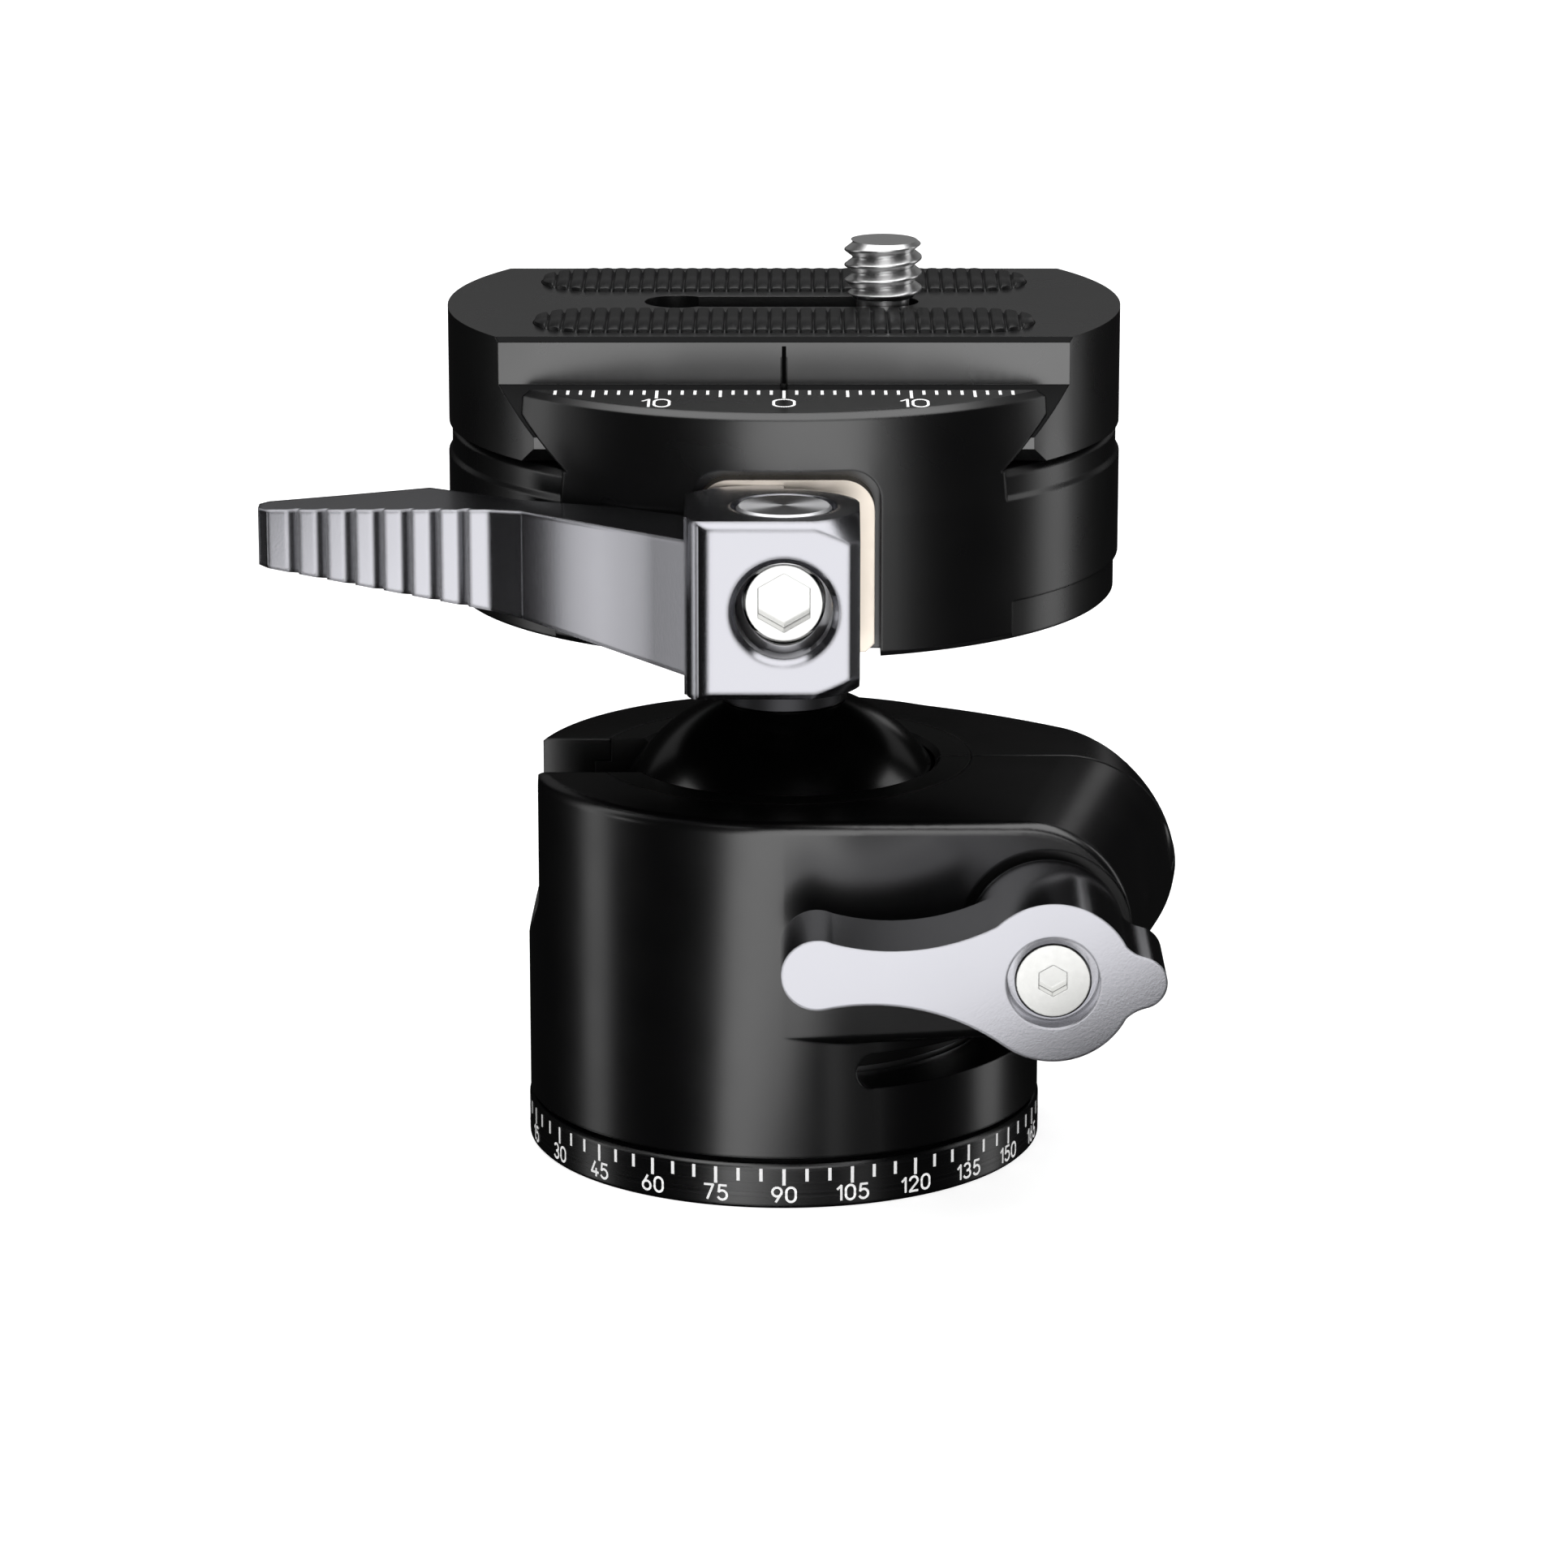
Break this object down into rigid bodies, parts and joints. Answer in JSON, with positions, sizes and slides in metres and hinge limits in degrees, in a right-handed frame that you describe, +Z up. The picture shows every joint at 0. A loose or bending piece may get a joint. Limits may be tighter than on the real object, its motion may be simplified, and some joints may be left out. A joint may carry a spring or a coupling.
{
  "type": "tripod ball head",
  "caption": "Tripod ball head with a lever-locked ball, a panning base with a degree scale, a lever clamp and a quick-release plate with its camera screw.",
  "frame": {"origin": "centre of the tripod thread at the base's underside", "axes": "+Z up through the stem, -Y the front with the two levers, +X the side with the pinch boss"},
  "size_m": [0.0737, 0.0697, 0.0757],
  "materials": {
    "black_anodised": "satin black anodised",
    "polished_black": "polished hard anodised",
    "lever_grey": "bead blasted, clear anodised",
    "titanium_grey": "titanium grey anodised",
    "steel": "turned stainless steel",
    "dark_steel": "oiled steel",
    "bronze": "machined bronze",
    "slip_plastic": "natural slip plastic",
    "seat_plastic": "black acetal",
    "rubber": "moulded ribbed"
  },
  "bodies": {
    "base": {"base_ring": "black_anodised", "pan_washer": "slip_plastic", "glide_washer": "slip_plastic", "keeper_ring": "dark_steel", "keeper_screws": "dark_steel"},
    "housing": {"housing": "black_anodised", "floor_plug": "black_anodised", "seat_ring": "seat_plastic", "lower_cup": "seat_plastic", "cup_spring": "dark_steel"},
    "lock_washer": {"lock_washer": "steel"},
    "lock_lever": {"lock_lever": "lever_grey", "lock_shaft": "steel", "lock_screw": "steel"},
    "pan_pad": {"pan_pad": "bronze"},
    "pan_knob": {"pan_knob": "black_anodised", "pan_stud": "steel"},
    "ball": {"ball": "polished_black"},
    "stem": {"stem": "black_anodised"},
    "clamp": {"clamp_body": "black_anodised", "stem_grub": "dark_steel", "thrust_pad": "bronze", "guide_pins": "steel", "jaw_springs": "steel"},
    "rear_jaw": {"rear_jaw": "black_anodised", "draw_bolt": "steel", "barrel_pin": "steel"},
    "clamp_lever": {"clamp_lever": "titanium_grey"},
    "plate": {"plate": "black_anodised", "front_grip_strip": "rubber", "rear_grip_strip": "rubber"},
    "screw_washer": {"screw_washer": "steel"},
    "camera_screw": {"camera_screw": "steel"}
  },
  "joints": [
    {"name": "pan_turn", "type": "hinge", "parent": "base", "child": "housing", "pos_m": [0, 0, 0], "axis": [0, 0, 1], "continuous": true},
    {"name": "lock_travel", "type": "slide", "parent": "housing", "child": "lock_washer", "axis": [0, -1, 0], "range_m": [0, 0.00033333]},
    {"name": "lock_turn", "type": "hinge", "parent": "lock_washer", "child": "lock_lever", "pos_m": [0.021, 0, 0.0233], "axis": [0, -1, 0], "range_deg": [0, 120]},
    {"name": "pan_lock_travel", "type": "slide", "parent": "housing", "child": "pan_pad", "axis": [0, 1, 0], "range_m": [0, 0.0005]},
    {"name": "pan_lock_turn", "type": "hinge", "parent": "pan_pad", "child": "pan_knob", "pos_m": [0, 0, 0.0077], "axis": [0, 1, 0], "range_deg": [0, 360]},
    {"name": "ball_nod", "type": "hinge", "parent": "housing", "child": "ball", "pos_m": [0, 0, 0.0233], "axis": [1, 0, 0], "range_deg": [-20, 20]},
    {"name": "ball_drop", "type": "hinge", "parent": "ball", "child": "stem", "pos_m": [0, 0, 0.0233], "axis": [0, 1, 0], "range_deg": [-90, 20]},
    {"name": "ball_swivel", "type": "hinge", "parent": "stem", "child": "clamp", "pos_m": [0, 0, 0.0473], "axis": [0, 0, 1], "continuous": true},
    {"name": "jaw_travel", "type": "slide", "parent": "clamp", "child": "rear_jaw", "axis": [0, 1, 0], "range_m": [0, 0.0015]},
    {"name": "clamp_lever_turn", "type": "hinge", "parent": "rear_jaw", "child": "clamp_lever", "pos_m": [0, -0.0324, 0.05385], "axis": [0, 0, 1], "range_deg": [0, 90]},
    {"name": "plate_slide", "type": "slide", "parent": "clamp", "child": "plate", "axis": [1, 0, 0], "range_m": [-0.018, 0.018]},
    {"name": "screw_slide", "type": "slide", "parent": "plate", "child": "screw_washer", "axis": [-1, 0, 0], "range_m": [0, 0.014]},
    {"name": "screw_turn", "type": "hinge", "parent": "screw_washer", "child": "camera_screw", "pos_m": [0.00805, 0, 0.062], "axis": [0, 0, 1], "continuous": true}
  ],
  "couplings": [
    {"joint": "lock_turn", "follows": "lock_travel", "rad_per_m": 6283.2},
    {"joint": "pan_lock_turn", "follows": "pan_lock_travel", "rad_per_m": 12566},
    {"joint": "clamp_lever_turn", "follows": "jaw_travel", "rad_per_m": 1047.2}
  ]
}
